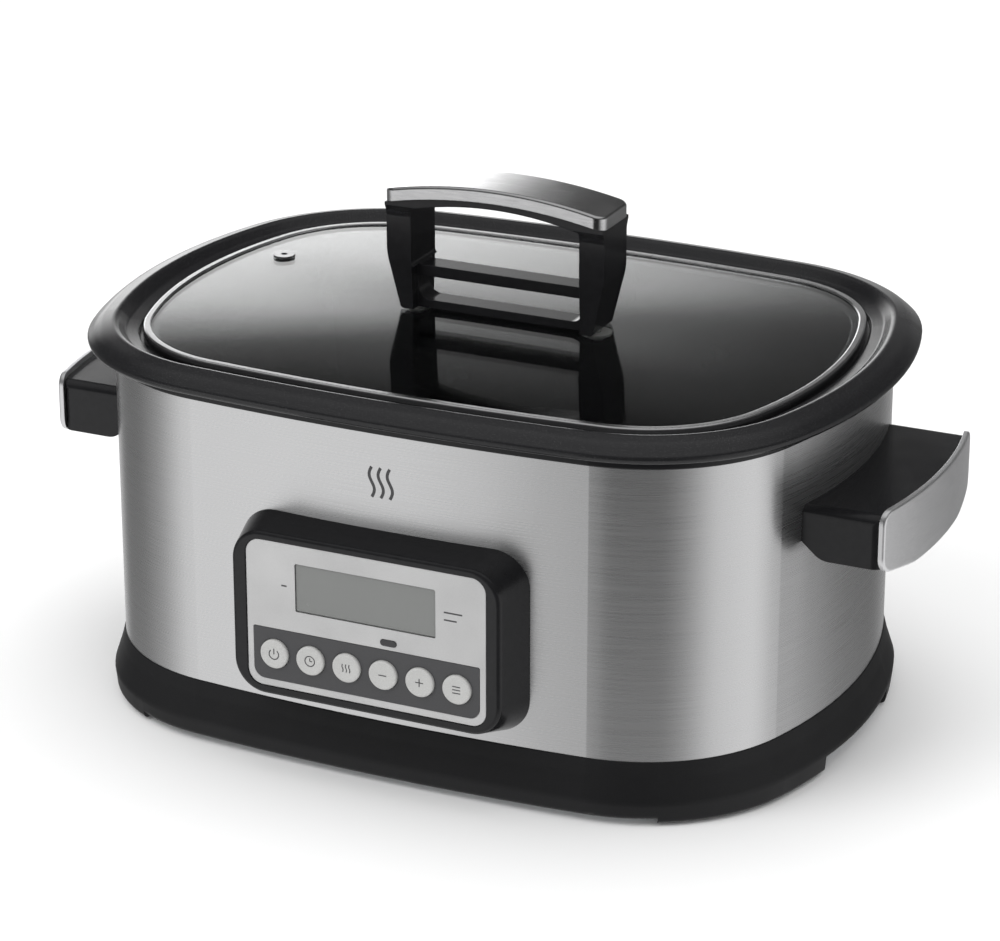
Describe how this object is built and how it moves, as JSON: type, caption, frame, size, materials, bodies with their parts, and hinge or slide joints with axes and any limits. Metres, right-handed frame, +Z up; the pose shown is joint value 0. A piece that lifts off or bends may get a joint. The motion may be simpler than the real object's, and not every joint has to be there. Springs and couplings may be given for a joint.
{
  "type": "slow cooker",
  "caption": "Countertop slow cooker: oval-cornered steel body on a dark base, lift-out pot, glass lid with bridge handle, side handles and a front button panel.",
  "frame": {"origin": "on the table under the middle of the body", "axes": "+X along the length towards the right-hand handle, -Y towards the user and the control panel, +Z up"},
  "size_m": [0.486, 0.3329, 0.2775],
  "materials": {
    "brushed_steel_shell": "vertically brushed stainless sheet",
    "base_plastic": "satin charcoal moulding",
    "gloss_black": "polished black moulding",
    "pot_coating": "black non-stick coating on cast aluminium",
    "clear_glass": "tempered clear glass",
    "polished_metal": "polished metal",
    "satin_metal": "satin brushed metal",
    "faceplate_silver": "fine-grained anodised silver",
    "strip_grey": "dark grey film",
    "display_film": "grey display window",
    "display_dark": "display module",
    "button_silver": "silver-white satin cap",
    "lamp_dark": "smoked lens, unlit",
    "rubber_black": "soft black rubber",
    "galvanised": "galvanised sheet",
    "aluminised_well": "satin pressed sheet",
    "mica_heater": "mica band",
    "glass_wool": "white fibre blanket",
    "zinc_screw": "zinc-plated",
    "board_green": "circuit board",
    "component_black": "moulded component",
    "transformer_metal": "laminated core",
    "brass_post": "brass",
    "wire_white": "silicone-sleeved wires",
    "washer_silicone": "silicone"
  },
  "bodies": {
    "housing": {"outer_shell": "brushed_steel_shell", "base_tray": "base_plastic", "rubber_feet": "rubber_black", "bottom_plate": "galvanised", "base_screws": "zinc_screw", "cord_gland": "gloss_black", "gland_clip": "gloss_black", "rim_collar": "gloss_black", "heating_well": "aluminised_well", "band_heater": "mica_heater", "insulation_wrap": "glass_wool", "temperature_sensor": "polished_metal", "sensor_clip": "galvanised", "thermal_fuse": "polished_metal", "board_posts": "brass_post", "power_board": "board_green", "power_board_screws": "zinc_screw", "relay": "component_black", "transformer": "transformer_metal", "terminal_block": "component_black", "wiring_harness": "wire_white", "panel_frame": "gloss_black", "panel_faceplate": "faceplate_silver", "button_strip": "strip_grey", "display_window": "display_film", "lcd_module": "display_dark", "indicator_light": "lamp_dark", "control_board": "board_green", "control_board_screws": "zinc_screw", "tact_switches": "component_black", "panel_screws": "zinc_screw", "right_handle_bracket": "gloss_black", "left_handle_bracket": "gloss_black", "right_handle_cap": "satin_metal", "left_handle_cap": "satin_metal", "handle_screws": "zinc_screw"},
    "pot": {"cooking_pot": "pot_coating"},
    "lid": {"lid_glass": "clear_glass", "lid_rim_band": "polished_metal", "lid_handle_frame": "gloss_black", "lid_handle_cap": "polished_metal", "lid_handle_washers": "washer_silicone", "lid_handle_screws": "zinc_screw", "vent_grommet": "polished_metal"},
    "button_1": {"button_1": "button_silver"},
    "button_2": {"button_2": "button_silver"},
    "button_3": {"button_3": "button_silver"},
    "button_4": {"button_4": "button_silver"},
    "button_5": {"button_5": "button_silver"},
    "button_6": {"button_6": "button_silver"}
  },
  "joints": [
    {"name": "pot_lift", "type": "slide", "parent": "housing", "child": "pot", "axis": [0, 0, 1], "range_m": [0, 0.15]},
    {"name": "lid_lift", "type": "slide", "parent": "pot", "child": "lid", "axis": [0, 0, 1], "range_m": [0, 0.12]},
    {"name": "button_1_press", "type": "slide", "parent": "housing", "child": "button_1", "axis": [0, 1, 0], "range_m": [0, 0.0012], "stiffness_N_per_m": 600, "springref_m": -0.0005},
    {"name": "button_2_press", "type": "slide", "parent": "housing", "child": "button_2", "axis": [0, 1, 0], "range_m": [0, 0.0012], "stiffness_N_per_m": 600, "springref_m": -0.0005},
    {"name": "button_3_press", "type": "slide", "parent": "housing", "child": "button_3", "axis": [0, 1, 0], "range_m": [0, 0.0012], "stiffness_N_per_m": 600, "springref_m": -0.0005},
    {"name": "button_4_press", "type": "slide", "parent": "housing", "child": "button_4", "axis": [0, 1, 0], "range_m": [0, 0.0012], "stiffness_N_per_m": 600, "springref_m": -0.0005},
    {"name": "button_5_press", "type": "slide", "parent": "housing", "child": "button_5", "axis": [0, 1, 0], "range_m": [0, 0.0012], "stiffness_N_per_m": 600, "springref_m": -0.0005},
    {"name": "button_6_press", "type": "slide", "parent": "housing", "child": "button_6", "axis": [0, 1, 0], "range_m": [0, 0.0012], "stiffness_N_per_m": 600, "springref_m": -0.0005}
  ]
}
